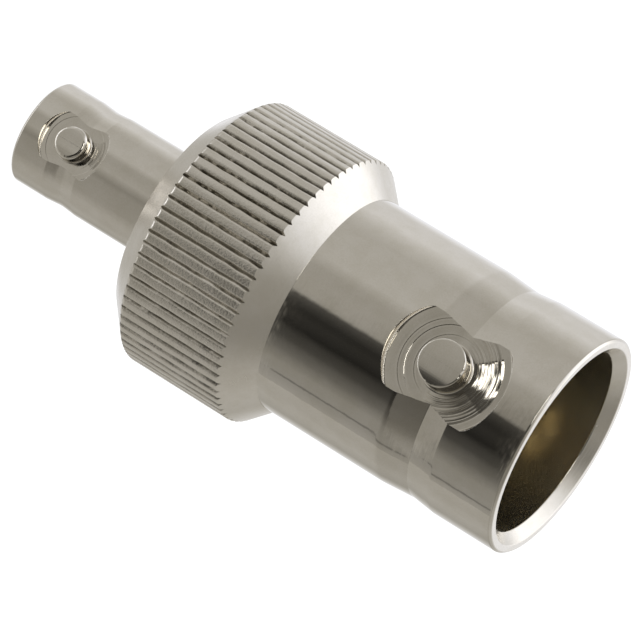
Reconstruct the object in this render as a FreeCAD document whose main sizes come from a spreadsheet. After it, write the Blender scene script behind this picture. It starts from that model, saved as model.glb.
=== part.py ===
# HD-BNC to BNC coaxial adapter, jack to jack, for 75 ohm video leads.
# Two turned, nickel plated bodies are pressed together at the knurled collar.
# Between them they trap two PTFE insulators, which carry a gold plated contact
# made of two sockets pressed into one another.
#
# Frame: millimetres. Z is the common axis of both connectors, with +Z out of the
# BNC mouth. The origin is the centre of the HD-BNC rim, on which the adapter
# stands. The bayonet studs lie on the Y axis.

import FreeCAD
import Part

import os

import Sketcher

SIZES = {
    # BNC barrel, measured from its mouth
    "bnc_bore_dia": 8.13,
    "bnc_bore_depth": 8.40,
    "bnc_wall": 0.76,
    "bnc_barrel_length": 11.29,
    "bnc_edge_chamfer": 0.10,
    "bnc_lead_in_width": 0.385,
    "bnc_lead_in_depth": 0.46,
    # shallow waist left where the ring that became the studs was milled away
    "bnc_waist_from_mouth": 4.36,
    "bnc_waist_width": 2.52,
    "bnc_waist_floor_width": 0.84,
    "bnc_waist_depth": 0.10,
    # BNC bayonet studs and the flats left round them by the hollow mill
    "bnc_stud_from_mouth": 4.25,
    "bnc_stud_dia": 1.95,
    "bnc_stud_height": 0.685,
    "bnc_stud_chamfer": 0.06,
    "bnc_flat_depth": 0.375,
    "bnc_mill_dia": 5.20,
    # collar with a straight knurl of broad lands and narrow grooves
    "collar_dia": 12.00,
    "knurl_length": 4.74,
    "knurl_teeth": 72,
    "knurl_groove_depth": 0.12,
    "knurl_groove_width": 0.20,
    "rear_chamfer_length": 1.22,
    "rear_chamfer_width": 1.29,
    # HD-BNC barrel, measured from its mouth
    "hd_bore_dia": 3.20,
    "hd_bore_depth": 4.20,
    "hd_wall": 0.675,
    "hd_barrel_length": 7.37,
    "hd_edge_chamfer": 0.08,
    "hd_lead_in_width": 0.15,
    "hd_lead_in_depth": 0.15,
    "hd_waist_from_mouth": 2.37,
    "hd_waist_width": 1.50,
    "hd_waist_floor_width": 0.50,
    "hd_waist_depth": 0.07,
    # HD-BNC bayonet studs and their milled flats
    "hd_stud_from_mouth": 2.30,
    "hd_stud_dia": 1.40,
    "hd_stud_height": 0.375,
    "hd_stud_chamfer": 0.14,
    "hd_flat_depth": 0.29,
    "hd_mill_dia": 3.00,
    # press joint of the two bodies inside the collar
    "plug_dia": 7.80,
    "plug_length": 4.63,
    # insulators and the seats that trap them
    "bnc_insulator_dia": 6.20,
    "lip_width": 0.50,
    "lip_thickness": 0.80,
    "hd_insulator_dia": 2.70,
    "hd_flange_width": 0.95,
    "hd_flange_thickness": 1.00,
    # BNC socket of the contact
    "bnc_pin_hole_dia": 1.38,
    "bnc_socket_wall": 0.385,
    "bnc_socket_length": 5.00,
    "bnc_pin_hole_depth": 4.50,
    "bnc_slot_width": 0.20,
    "bnc_slot_length": 3.60,
    "bnc_tip_chamfer": 0.15,
    "bnc_shank_dia": 1.02,
    # HD-BNC socket of the contact
    "hd_pin_hole_dia": 0.52,
    "hd_socket_wall": 0.20,
    "hd_socket_length": 2.50,
    "hd_pin_hole_depth": 2.20,
    "hd_slot_width": 0.10,
    "hd_slot_length": 1.60,
    "hd_tip_chamfer": 0.08,
    "hd_shank_dia": 0.44,
    # press joint of the two sockets, and the slots that make each one springy
    "contact_joint_depth": 2.50,
    "contact_joint_room": 0.30,
    "contact_tines": 4,
    # radial room in every fit of one piece in another
    "fit_gap": 0.01,
}

document = FreeCAD.newDocument("bnc_adapter")


def fill_sheet():
    """Put the driving sizes in a spreadsheet, one named cell each."""
    sheet = document.addObject("Spreadsheet::Sheet", "Sizes")
    for row, (alias, value) in enumerate(SIZES.items(), start=1):
        sheet.set(f"A{row}", alias)
        sheet.set(f"B{row}", str(value))
        sheet.setAlias(f"B{row}", alias)
    document.recompute()


def cell(alias):
    """The expression that reads one size."""
    if alias not in SIZES:
        raise KeyError(alias)
    return f"Sizes.{alias}"


def half(alias):
    """The expression for half of one size, such as the radius of a diameter."""
    return f"({cell(alias)} / 2)"


def above(height, alias):
    """The expression for a height that lies one size above another height."""
    return f"({height} + {cell(alias)})"


def below(height, alias):
    """The expression for a height that lies one size below another height."""
    return f"({height} - {cell(alias)})"


def wider(radius, alias):
    """The expression for a radius that is one size larger than another radius."""
    return f"({radius} + {cell(alias)})"


def narrower(radius, alias):
    """The expression for a radius that is one size smaller than another radius."""
    return f"({radius} - {cell(alias)})"


# Radii that other radii are worked out from
AXIS = "0"
BARREL = {end: wider(half(f"{end}_bore_dia"), f"{end}_wall") for end in ("bnc", "hd")}
SOCKET = {end: wider(half(f"{end}_pin_hole_dia"), f"{end}_socket_wall") for end in ("bnc", "hd")}
COLLAR = half("collar_dia")
BEAD = half("bnc_insulator_dia")
NOSE = narrower(BEAD, "lip_width")
SLEEVE = half("hd_insulator_dia")
FLANGE = wider(SLEEVE, "hd_flange_width")

# Heights along the axis, from the HD-BNC rim at 0 up to the BNC mouth
RIM = "0"
REAR_FACE = cell("hd_barrel_length")
KNURL_REAR = above(REAR_FACE, "rear_chamfer_length")
KNURL_FRONT = above(KNURL_REAR, "knurl_length")
BARREL_ROOT = f"({KNURL_FRONT} + {COLLAR} - {BARREL['bnc']})"
MOUTH = above(BARREL_ROOT, "bnc_barrel_length")
BNC_SEAT = below(MOUTH, "bnc_bore_depth")
LIP_BACK = below(BNC_SEAT, "lip_thickness")
PLUG_TOP = above(REAR_FACE, "plug_length")
HD_SEAT = cell("hd_bore_depth")
FLANGE_BACK = below(PLUG_TOP, "hd_flange_thickness")
BNC_TIP = above(BNC_SEAT, "bnc_socket_length")
HD_TIP = below(HD_SEAT, "hd_socket_length")
JOINT_TOP = above(PLUG_TOP, "contact_joint_depth")


def new_body(name):
    """A piece of the adapter, in the adapter's own frame."""
    body = document.addObject("PartDesign::Body", name)
    body.Label = name
    body.Placement = FreeCAD.Placement()
    return body


def new_sketch(body, role, name, offset=None):
    """A sketch on one of the body's own planes, moved along one of its directions if asked."""
    sketch = body.newObject("Sketcher::SketchObject", name)
    plane = next(item for item in body.Origin.OriginFeatures if item.Role == role)
    sketch.AttachmentSupport = [(plane, "")]
    sketch.MapMode = "FlatFace"
    if offset:
        direction, expression = offset
        sketch.setExpression(f"AttachmentOffset.Base.{direction}", expression)
    return sketch


def hold(sketch, kind, line, place):
    """Fix one coordinate of a line's start: on the axis for 0, and by its expression elsewhere."""
    if place == "0":
        axis = -2 if kind == "DistanceX" else -1
        sketch.addConstraint(Sketcher.Constraint("PointOnObject", line, 1, axis))
        return
    value = float(sketch.evalExpression(place))
    number = sketch.addConstraint(Sketcher.Constraint(kind, -1, 1, line, 1, value))
    sketch.setExpression(f"Constraints[{number}]", place)


def outline(body, role, name, corners, offset=None):
    """A closed outline of straight lines. Each corner is two expressions, across and up."""
    sketch = new_sketch(body, role, name, offset)
    points = [
        FreeCAD.Vector(float(sketch.evalExpression(across)), float(sketch.evalExpression(up)), 0)
        for across, up in corners
    ]
    count = len(points)
    for number, start in enumerate(points):
        sketch.addGeometry(Part.LineSegment(start, points[(number + 1) % count]), False)
    for number in range(count):
        sketch.addConstraint(
            Sketcher.Constraint("Coincident", number, 2, (number + 1) % count, 1)
        )
    for number, (across, up) in enumerate(corners):
        hold(sketch, "DistanceX", number, across)
        hold(sketch, "DistanceY", number, up)
    return sketch


def turn(body, kind, name, corners, role="XZ_Plane", offset=None):
    """Turn an outline round an axis: the body's own, or the axis across a sketch set off from it."""
    before = 0.0 if body.Tip is None else body.Shape.Volume
    sketch = outline(body, role, name + "Outline", corners, offset)
    feature = body.newObject(kind, name)
    feature.Profile = sketch
    feature.ReferenceAxis = (sketch, ["H_Axis" if offset else "V_Axis"])
    feature.Angle = 360
    document.recompute()
    compare(body, before, cuts=kind.endswith("Groove"))
    return feature


def slot(body, name, corners, length, height, upward):
    """Cut a straight slot along the axis from a height, upward or downward, for a length."""
    before = body.Shape.Volume
    sketch = outline(body, "XY_Plane", name + "Outline", corners, ("z", height))
    feature = body.newObject("PartDesign::Pocket", name)
    feature.Profile = sketch
    feature.Type = "Length"
    feature.setExpression("Length", length)
    feature.Reversed = upward
    document.recompute()
    compare(body, before, cuts=True)
    return feature


def repeat(body, name, features, count):
    """Repeat features round the body's axis."""
    pattern = body.newObject("PartDesign::PolarPattern", name)
    pattern.Originals = features
    axis = next(item for item in body.Origin.OriginFeatures if item.Role == "Z_Axis")
    pattern.Axis = (axis, [""])
    pattern.Angle = 360
    pattern.setExpression("Occurrences", count)
    body.Tip = pattern
    document.recompute()
    return pattern


def compare(body, before, cuts):
    """Stop if a cut took nothing away, or an added form added nothing."""
    change = body.Shape.Volume - before
    if (cuts and change >= 0) or (not cuts and change <= 0):
        raise ValueError(f"{body.Tip.Name} changes the volume by {change:.4f}")


def waist(end, height):
    """Corners of the shallow waist round a barrel, from its lower edge to its upper one."""
    barrel = BARREL[end]
    floor = narrower(barrel, f"{end}_waist_depth")
    edge = half(f"{end}_waist_width")
    floor_edge = half(f"{end}_waist_floor_width")
    return [
        (barrel, f"({height} - {edge})"),
        (floor, f"({height} - {floor_edge})"),
        (floor, f"({height} + {floor_edge})"),
        (barrel, f"({height} + {edge})"),
    ]


def bayonet_studs(body, end, height):
    """Mill a round flat on both sides of a barrel, each with a stud whose top is turned round."""
    barrel = BARREL[end]
    flat = narrower(barrel, f"{end}_flat_depth")
    inside_wall = f"(({half(f'{end}_bore_dia')} + {flat}) / 2)"
    tip = wider(barrel, f"{end}_stud_height")
    mill = half(f"{end}_mill_dia")
    milled = turn(body, "PartDesign::Groove", "MilledFlat", [
        (flat, AXIS),
        (tip, AXIS),
        (tip, mill),
        (flat, mill),
    ], "YZ_Plane", ("y", height))
    blank = wider(tip, f"{end}_stud_chamfer")
    stud = half(f"{end}_stud_dia")
    chamfered = narrower(stud, f"{end}_stud_chamfer")
    standing = turn(body, "PartDesign::Revolution", "Stud", [
        (inside_wall, AXIS),
        (blank, AXIS),
        (blank, narrower(chamfered, f"{end}_stud_chamfer")),
        (narrower(tip, f"{end}_stud_chamfer"), stud),
        (inside_wall, stud),
    ], "YZ_Plane", ("y", height))
    repeat(body, "StudPair", [milled, standing], "2")
    clear = wider(blank, f"{end}_stud_dia")
    turn(body, "PartDesign::Groove", "StudTops", [
        (tip, f"({height} - {mill})"),
        (clear, f"({height} - {mill})"),
        (clear, f"({height} + {mill})"),
        (tip, f"({height} + {mill})"),
    ])


def bnc_body():
    """The main body: BNC barrel, bayonet studs and knurled collar, turned from one bar."""
    body = new_body("bnc_body")
    barrel = BARREL["bnc"]
    edge = cell("bnc_edge_chamfer")
    turn(body, "PartDesign::Revolution", "TurnedBlank", [
        (AXIS, REAR_FACE),
        (narrower(COLLAR, "rear_chamfer_width"), REAR_FACE),
        (COLLAR, KNURL_REAR),
        (COLLAR, KNURL_FRONT),
        (barrel, BARREL_ROOT),
        *waist("bnc", below(MOUTH, "bnc_waist_from_mouth")),
        (barrel, f"({MOUTH} - {edge})"),
        (f"({barrel} - {edge})", MOUTH),
        (AXIS, MOUTH),
    ])
    socket = wider(half("plug_dia"), "fit_gap")
    seat = wider(BEAD, "fit_gap")
    lip = wider(NOSE, "fit_gap")
    bore = half("bnc_bore_dia")
    turn(body, "PartDesign::Groove", "Bore", [
        (AXIS, REAR_FACE),
        (socket, REAR_FACE),
        (socket, PLUG_TOP),
        (seat, PLUG_TOP),
        (seat, LIP_BACK),
        (lip, LIP_BACK),
        (lip, BNC_SEAT),
        (bore, BNC_SEAT),
        (bore, below(MOUTH, "bnc_lead_in_depth")),
        (wider(bore, "bnc_lead_in_width"), MOUTH),
        (AXIS, MOUTH),
    ])
    bayonet_studs(body, "bnc", below(MOUTH, "bnc_stud_from_mouth"))
    groove = slot(body, "KnurlGroove", [
        (narrower(COLLAR, "knurl_groove_depth"), AXIS),
        (COLLAR, f"(-1 * {half('knurl_groove_width')})"),
        (COLLAR, half("knurl_groove_width")),
    ], f"({BARREL_ROOT} - {REAR_FACE})", REAR_FACE, upward=True)
    repeat(body, "Knurl", [groove], cell("knurl_teeth"))
    return body


def hd_bnc_body():
    """The small body: HD-BNC barrel and the plug that is pressed into the collar."""
    body = new_body("hd_bnc_body")
    barrel = BARREL["hd"]
    plug = half("plug_dia")
    edge = cell("hd_edge_chamfer")
    turn(body, "PartDesign::Revolution", "TurnedBlank", [
        (AXIS, RIM),
        (f"({barrel} - {edge})", RIM),
        (barrel, edge),
        *waist("hd", cell("hd_waist_from_mouth")),
        (barrel, REAR_FACE),
        (plug, REAR_FACE),
        (plug, PLUG_TOP),
        (AXIS, PLUG_TOP),
    ])
    bore = half("hd_bore_dia")
    neck = wider(SLEEVE, "fit_gap")
    flange = wider(FLANGE, "fit_gap")
    turn(body, "PartDesign::Groove", "Bore", [
        (AXIS, RIM),
        (wider(bore, "hd_lead_in_width"), RIM),
        (bore, cell("hd_lead_in_depth")),
        (bore, HD_SEAT),
        (neck, HD_SEAT),
        (neck, FLANGE_BACK),
        (flange, FLANGE_BACK),
        (flange, PLUG_TOP),
        (AXIS, PLUG_TOP),
    ])
    bayonet_studs(body, "hd", cell("hd_stud_from_mouth"))
    return body


def bnc_insulator():
    """PTFE bead between the lip of the main body and the plug of the small one."""
    body = new_body("bnc_insulator")
    hole = wider(half("bnc_shank_dia"), "fit_gap")
    turn(body, "PartDesign::Revolution", "Bead", [
        (hole, PLUG_TOP),
        (BEAD, PLUG_TOP),
        (BEAD, LIP_BACK),
        (NOSE, LIP_BACK),
        (NOSE, BNC_SEAT),
        (hole, BNC_SEAT),
    ])
    return body


def hd_bnc_insulator():
    """PTFE sleeve through the neck of the small body, held by its flange."""
    body = new_body("hd_bnc_insulator")
    hole = wider(half("hd_shank_dia"), "fit_gap")
    turn(body, "PartDesign::Revolution", "Sleeve", [
        (hole, HD_SEAT),
        (SLEEVE, HD_SEAT),
        (SLEEVE, FLANGE_BACK),
        (FLANGE, FLANGE_BACK),
        (FLANGE, PLUG_TOP),
        (hole, PLUG_TOP),
    ])
    return body


def socket_slots(body, end, tip, upward):
    """Slot a socket into springy tines, from its tip."""
    width = half(f"{end}_slot_width")
    first = slot(body, "Slot", [
        (AXIS, f"(-1 * {width})"),
        (SOCKET[end], f"(-1 * {width})"),
        (SOCKET[end], width),
        (AXIS, width),
    ], cell(f"{end}_slot_length"), tip, upward)
    repeat(body, "Tines", [first], cell("contact_tines"))


def bnc_contact():
    """Gold plated socket of the BNC end, drilled behind to take the other socket's shank."""
    body = new_body("bnc_contact")
    socket = SOCKET["bnc"]
    hole = half("bnc_pin_hole_dia")
    shank = half("bnc_shank_dia")
    joint = wider(half("hd_shank_dia"), "fit_gap")
    joint_end = above(JOINT_TOP, "contact_joint_room")
    turn(body, "PartDesign::Revolution", "TurnedSocket", [
        (AXIS, joint_end),
        (joint, joint_end),
        (joint, PLUG_TOP),
        (shank, PLUG_TOP),
        (shank, BNC_SEAT),
        (socket, BNC_SEAT),
        (socket, below(BNC_TIP, "bnc_tip_chamfer")),
        (narrower(socket, "bnc_tip_chamfer"), BNC_TIP),
        (hole, BNC_TIP),
        (hole, below(BNC_TIP, "bnc_pin_hole_depth")),
        (AXIS, below(BNC_TIP, "bnc_pin_hole_depth")),
    ])
    socket_slots(body, "bnc", BNC_TIP, upward=False)
    return body


def hd_bnc_contact():
    """Gold plated socket of the HD-BNC end, whose shank is pressed into the other socket."""
    body = new_body("hd_bnc_contact")
    socket = SOCKET["hd"]
    hole = half("hd_pin_hole_dia")
    shank = half("hd_shank_dia")
    turn(body, "PartDesign::Revolution", "TurnedSocket", [
        (AXIS, above(HD_TIP, "hd_pin_hole_depth")),
        (hole, above(HD_TIP, "hd_pin_hole_depth")),
        (hole, HD_TIP),
        (narrower(socket, "hd_tip_chamfer"), HD_TIP),
        (socket, above(HD_TIP, "hd_tip_chamfer")),
        (socket, HD_SEAT),
        (shank, HD_SEAT),
        (shank, JOINT_TOP),
        (AXIS, JOINT_TOP),
    ])
    socket_slots(body, "hd", HD_TIP, upward=True)
    return body


def check(pieces):
    """Stop if a form failed or a piece is not a sound solid."""
    for item in document.Objects:
        if "Invalid" in item.State or "Error" in item.State:
            raise ValueError(f"{item.Name} failed: {item.State}")
    for piece in pieces:
        if piece.Shape.isNull() or not piece.Shape.isValid():
            raise ValueError(f"{piece.Label} is not a valid shape")


fill_sheet()
PIECES = [
    bnc_body(),
    hd_bnc_body(),
    bnc_insulator(),
    hd_bnc_insulator(),
    bnc_contact(),
    hd_bnc_contact(),
]
document.recompute()
check(PIECES)
os.makedirs("parts", exist_ok=True)
for piece in PIECES:
    piece.Shape.exportStep(f"parts/{piece.Label}.step")
    box = piece.Shape.BoundBox
    print(f"{piece.Label}: {len(piece.Shape.Solids)} solid, {piece.Shape.Volume:.3f} mm3, "
          f"z {box.ZMin:.3f} to {box.ZMax:.3f}, across {box.XLength:.3f} by {box.YLength:.3f}")
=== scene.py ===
import math

import bmesh
import bpy
from mathutils import Matrix, Quaternion, Vector, noise


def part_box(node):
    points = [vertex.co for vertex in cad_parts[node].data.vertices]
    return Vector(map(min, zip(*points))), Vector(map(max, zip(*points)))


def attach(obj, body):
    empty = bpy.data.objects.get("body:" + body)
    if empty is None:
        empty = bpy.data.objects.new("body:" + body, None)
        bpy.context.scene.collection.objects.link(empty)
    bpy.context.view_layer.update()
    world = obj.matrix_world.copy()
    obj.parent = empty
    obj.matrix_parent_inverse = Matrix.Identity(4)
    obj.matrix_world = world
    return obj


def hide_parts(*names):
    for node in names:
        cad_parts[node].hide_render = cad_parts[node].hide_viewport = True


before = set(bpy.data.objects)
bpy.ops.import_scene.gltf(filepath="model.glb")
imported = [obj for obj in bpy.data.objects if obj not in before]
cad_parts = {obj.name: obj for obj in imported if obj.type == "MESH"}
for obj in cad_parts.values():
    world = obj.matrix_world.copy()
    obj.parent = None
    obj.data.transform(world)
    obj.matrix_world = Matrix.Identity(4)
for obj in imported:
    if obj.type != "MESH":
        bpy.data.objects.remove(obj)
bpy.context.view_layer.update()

# Lengths are in millimetres, and each mesh is scaled to metres when it is finished.
# Heights are measured from the HD-BNC rim, up the common axis of both connectors.
MM = 0.001
BODY_LOW, BODY_HIGH = (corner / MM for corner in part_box("bnc_body"))
PLUG_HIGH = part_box("hd_bnc_body")[1] / MM
SOCKET_LOW, SOCKET_HIGH = (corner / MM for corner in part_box("bnc_contact"))
SMALL_SOCKET_LOW, SMALL_SOCKET_HIGH = (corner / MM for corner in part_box("hd_bnc_contact"))
REAR_FACE = BODY_LOW.z
MOUTH = BODY_HIGH.z
COLLAR_R = BODY_HIGH.x
PLUG_TOP = PLUG_HIGH.z
PLUG_R = PLUG_HIGH.x

# Radii and heights of the two barrels. A waist's fillets are half the length of each rounding along the axis.
BNC = {
    "barrel": 4.825,
    "bore": 4.065,
    "rim_chamfer": 0.10,
    "lead_in_width": 0.385,
    "lead_in_depth": 0.46,
    "waist": MOUTH - 4.26,
    "waist_half": 1.26,
    "waist_depth": 0.12,
    "floor_shift": 0.20,
    "waist_fillets": (0.16, 0.01, 0.06),
    "stud": MOUTH - 4.25,
    "stud_r": 0.975,
    "stud_tip": 5.51,
    "stud_edge": 0.07,
    "stud_foot": 0.09,
    "flat": 4.45,
    "mill_r": 2.60,
    "mill_corner": 0.09,
    "mill_steps": [(1.30, 0.002), (1.66, 0.0085), (1.92, 0.002)],
    "ring_start": 1.05,
    "ring_end": 2.22,
    "ring_pitch": 0.13,
    "ring_depth": 0.042,
}
HD = {
    "barrel": 2.275,
    "bore": 1.60,
    "rim_chamfer": 0.08,
    "lead_in_width": 0.15,
    "lead_in_depth": 0.15,
    "waist": 2.37,
    "waist_half": 0.75,
    "waist_depth": 0.07,
    "floor_shift": 0.0,
    "waist_fillets": (0.03, 0.20, 0.03),
    "stud": 2.30,
    "stud_r": 0.70,
    "stud_tip": 2.65,
    "stud_edge": 0.14,
    "stud_foot": 0.07,
    "flat": 1.985,
    "mill_r": 1.50,
    "mill_corner": 0.06,
    "mill_steps": [(0.95, 0.001), (1.17, 0.003)],
    "ring_start": 0.75,
    "ring_end": 1.25,
    "ring_pitch": 0.11,
    "ring_depth": 0.004,
}

# Collar
REAR_CHAMFER_LENGTH = 1.22
REAR_CHAMFER_WIDTH = 1.29
KNURL_LENGTH = 4.74
KNURL_REAR = REAR_FACE + REAR_CHAMFER_LENGTH
KNURL_FRONT = KNURL_REAR + KNURL_LENGTH
BARREL_ROOT = KNURL_FRONT + COLLAR_R - BNC["barrel"]
SEAM_CHAMFER = 0.12
TEETH = 72
KNURL_ROWS = 24
# From the middle of a groove to the middle of a land, as (share of the pitch, depth).
# The first points are the groove's.
HALF_TOOTH = [(0, 0.135), (0.150, 0.040), (0.195, 0.022), (0.32, 0.013), (0.5, 0.012)]
GROOVE_POINTS = 3
LAND_END_CHAMFER = 0.035
LAND_END_ROWS = (0, 0.035, 0.07)
# Width of the strip at each end of the knurl in which its waves run out
RUN_OUT = 0.18
# How far a groove wanders, as a share of the pitch, and how much its depth varies
GROOVE_WANDER = 0.032
GROOVE_DEPTH_SHARE = 0.40
# Noise along a groove: its step per lane, its step per millimetre and its start
WANDER_NOISE = (3.7, 2.2, 0.5)
DEPTH_NOISE = (5.3, 1.9, 7.5)

# Rings of the hollow mill: the share of their pitch that slopes gently
RING_SPLIT = 0.84
# Where they are deep: the angle from straight up, the cosine of the half width, and how fast it fades
RING_SIDE, RING_EDGE, RING_FADE = math.radians(8), 0.86, 0.02
# Where they are slight, to the right of the stud: the cosine at which they start, and how fast they grow
SLIGHT_EDGE, SLIGHT_FADE = -0.15, 0.5
# Their depth there and everywhere else, as shares
SLIGHT_RINGS, FAINT_RINGS = 0.12, 0.015
# How uneven they are, and the steps of their noise per ring and per millimetre
RING_UNEVENNESS, RING_NOISE = 0.8, (4.1, 1.4)
# The mill's room round a stud's foot and above its tip
FOOT_ROOM, MILL_HEADROOM = 0.03, 1

# Stock that each stud is turned from: below the flat, above the tip and along the axis
STUD_ROOT, STUD_STOCK, LATHE_SPAN = 0.2, 0.5, 2.0
STUD_RIM_ANGLE = math.radians(50)

# The two gilt sockets
BNC_SOCKET = {
    "length": 5.00,
    "radius": 1.075,
    "hole": 0.69,
    "hole_depth": 4.50,
    "drill_point": 0.10,
    "lip": 0.15,
    "slot_length": 3.60,
    "slot_width": 0.20,
    "shank": 0.51,
    "joint": 0.23,
    "joint_depth": 2.80,
}
HD_SOCKET = {
    "length": 2.50,
    "radius": 0.46,
    "hole": 0.26,
    "hole_depth": 2.20,
    "drill_point": 0.05,
    "lip": 0.08,
    "slot_length": 1.60,
    "slot_width": 0.10,
    "shank": 0.22,
}
SAW_OVERRUN = 0.02

# Inside
FIT = 0.01
LIP_THICKNESS = 0.80
FLANGE_THICKNESS = 1.00
BNC_SEAT = SOCKET_HIGH.z - BNC_SOCKET["length"]
LIP_BACK = BNC_SEAT - LIP_THICKNESS
HD_SEAT = SMALL_SOCKET_LOW.z + HD_SOCKET["length"]
FLANGE_BACK = PLUG_TOP - FLANGE_THICKNESS
BEAD_R = 3.10
NOSE_R = 2.60
SLEEVE_R = 1.35
FLANGE_R = 2.30

# Fineness of the turned meshes
TOOTH_STEPS = 2 * (len(HALF_TOOTH) - 1)
COLLAR_STEPS = TEETH * TOOTH_STEPS
BARREL_STEPS = 360
STUD_STEPS = 96
MILL_STEPS = 192
CONTACT_STEPS = 96
QUARTER_PIECES = 8

# Roundings of the turned edges, and how steep an edge stays sharp in shading
RIM_ROUNDING, REAR_ROUNDING, HD_ROUNDING = 0.03, 0.05, 0.025
BEAD_ROUNDING, SLEEVE_ROUNDING = 0.10, 0.06
SHARP_ANGLE = math.radians(32)
FINE_ANGLE = math.radians(5)
# How much more a large face counts than a small one in the shading of a vertex
NORMAL_WEIGHT = 80
# Distances within which a vertex counts as lying on a given radius or ring, or as beside a rounding
ON_RADIUS, ON_RING, BESIDE = 1e-4, 3e-4, 0.002


# Shader nodes

def node(tree, kind, inputs=None, **properties):
    """Add a node, set its properties, and give each input a value or a link."""
    made = tree.nodes.new("ShaderNode" + kind)
    for name, value in properties.items():
        setattr(made, name, value)
    for name, value in (inputs or {}).items():
        if isinstance(value, bpy.types.NodeSocket):
            tree.links.new(value, made.inputs[name])
        else:
            made.inputs[name].default_value = value
    return made


def maths(tree, operation, *values):
    """The result of one Math node."""
    return node(tree, "Math", dict(enumerate(values)), operation=operation).outputs[0]


def vector_maths(tree, operation, *values):
    """The node of one Vector Math operation."""
    return node(tree, "VectorMath", dict(enumerate(values)), operation=operation)


def ramp(tree, factor, stops):
    """A colour ramp from stops of (place, colour), where a colour may be one grey."""
    made = node(tree, "ValToRGB", {0: factor})
    while len(made.color_ramp.elements) < len(stops):
        made.color_ramp.elements.new(0.5)
    for element, (place, colour) in zip(made.color_ramp.elements, stops):
        element.position = place
        element.color = (colour, colour, colour, 1) if isinstance(colour, (int, float)) else (*colour, 1)
    return made.outputs["Color"]


def blend(tree, factor, one, other, mode="MIX"):
    """The colour of one Mix node."""
    made = node(tree, "Mix", {0: factor, 6: one, 7: other}, data_type="RGBA", blend_type=mode)
    return made.outputs[2]


def grey(tree, value):
    """A grey of a changing brightness."""
    return node(tree, "CombineXYZ", {0: value, 1: value, 2: value}).outputs[0]


def limits(tree, value, low, high, to_low=0.0, to_high=1.0):
    """A value carried from one range to another, held at both ends."""
    made = node(tree, "MapRange", {"Value": value, "From Min": low, "From Max": high,
                                   "To Min": to_low, "To Max": to_high},
                interpolation_type="SMOOTHSTEP")
    return made.outputs[0]


def new_group(name, inputs, outputs):
    """A shader node group: its tree, its entry sockets and its exit sockets."""
    tree = bpy.data.node_groups.new(name, "ShaderNodeTree")
    for label, value in inputs.items():
        kind = "NodeSocketColor" if isinstance(value, tuple) else "NodeSocketFloat"
        tree.interface.new_socket(label, in_out="INPUT", socket_type=kind).default_value = value
    for label, kind in outputs.items():
        tree.interface.new_socket(label, in_out="OUTPUT", socket_type="NodeSocket" + kind)
    entry = tree.nodes.new("NodeGroupInput")
    leave = tree.nodes.new("NodeGroupOutput")
    return tree, entry.outputs, leave.inputs


def use(tree, group, inputs=None):
    """Place a group, and give its inputs values."""
    made = tree.nodes.new("ShaderNodeGroup")
    made.node_tree = group
    for name, value in (inputs or {}).items():
        made.inputs[name].default_value = value
    return made.outputs


def place_in_mm(tree):
    """A point of the piece, in millimetres, as its vector, its three coordinates and its radius."""
    place = vector_maths(tree, "SCALE", node(tree, "TexCoord").outputs["Object"])
    place.inputs["Scale"].default_value = 1 / MM
    vector = place.outputs[0]
    split = node(tree, "SeparateXYZ", {0: vector})
    flat = vector_maths(tree, "MULTIPLY", vector, (1, 1, 0)).outputs[0]
    radius = vector_maths(tree, "LENGTH", flat).outputs["Value"]
    return vector, split.outputs, radius


def lathe_marks_group():
    """Fine rings left by the turning tool, as a height in millimetres."""
    tree, entry, leave = new_group("lathe_marks", {"Marks": 14.0, "Height": 0.001, "Chatter": 0.3},
                                   {"Height": "Float"})
    vector, axes, radius = place_in_mm(tree)
    along = node(tree, "CombineXYZ", {0: radius, 1: axes["Z"]}).outputs[0]
    rings = vector_maths(tree, "SCALE", along)
    tree.links.new(entry["Marks"], rings.inputs["Scale"])
    drift = vector_maths(tree, "SCALE", vector)
    tree.links.new(entry["Chatter"], drift.inputs["Scale"])
    place = vector_maths(tree, "ADD", rings.outputs[0], drift.outputs[0]).outputs[0]
    grain = node(tree, "TexNoise", {"Vector": place, "Scale": 1.0, "Detail": 2.0, "Roughness": 0.6})
    tree.links.new(maths(tree, "MULTIPLY", grain.outputs[0], entry["Height"]), leave["Height"])
    return tree


# Unevenness of the plating: the shares of its clouds and specks, and the tint where it is dull
CLOUD_SHARE, SPECK_SHARE = 0.7, 0.3
DULL_TINT, DULL_FROM_TO = (0.93, 0.925, 0.90, 1), (0.35, 0.65)


def plating_group():
    """Slight unevenness of the plating: a tint and a roughness that drift over the surface."""
    tree, entry, leave = new_group(
        "plating", {"Colour": (0.66, 0.63, 0.56, 1), "Roughness": 0.1, "Unevenness": 0.3},
        {"Colour": "Color", "Roughness": "Float"})
    vector = place_in_mm(tree)[0]
    cloud = node(tree, "TexNoise", {"Vector": vector, "Scale": 0.9, "Detail": 4.0, "Roughness": 0.62})
    speck = node(tree, "TexNoise", {"Vector": vector, "Scale": 16.0, "Detail": 2.0})
    mixed = maths(tree, "ADD", maths(tree, "MULTIPLY", cloud.outputs[0], CLOUD_SHARE),
                  maths(tree, "MULTIPLY", speck.outputs[0], SPECK_SHARE))
    swing = maths(tree, "MULTIPLY", maths(tree, "SUBTRACT", mixed, 0.5), entry["Unevenness"])
    share = maths(tree, "ADD", maths(tree, "MULTIPLY", swing, 2.0), 1.0)
    tree.links.new(maths(tree, "MULTIPLY", share, entry["Roughness"]), leave["Roughness"])
    dull = blend(tree, 1.0, entry["Colour"], DULL_TINT, "MULTIPLY")
    drift = blend(tree, limits(tree, mixed, *DULL_FROM_TO), entry["Colour"], dull)
    tree.links.new(drift, leave["Colour"])
    return tree


# Fine marks of the mill: their sway, the heights from the stud between which they deepen, how slight
# they are below it, and how they end at the edge of their zone
MARK_SWAY = 0.15
MARK_HEIGHTS, LOW_MARKS = (-0.25, 0.35), 0.10
ZONE_EDGE, OUTER_MARKS = (0.96, 1.04), 0.12


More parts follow.
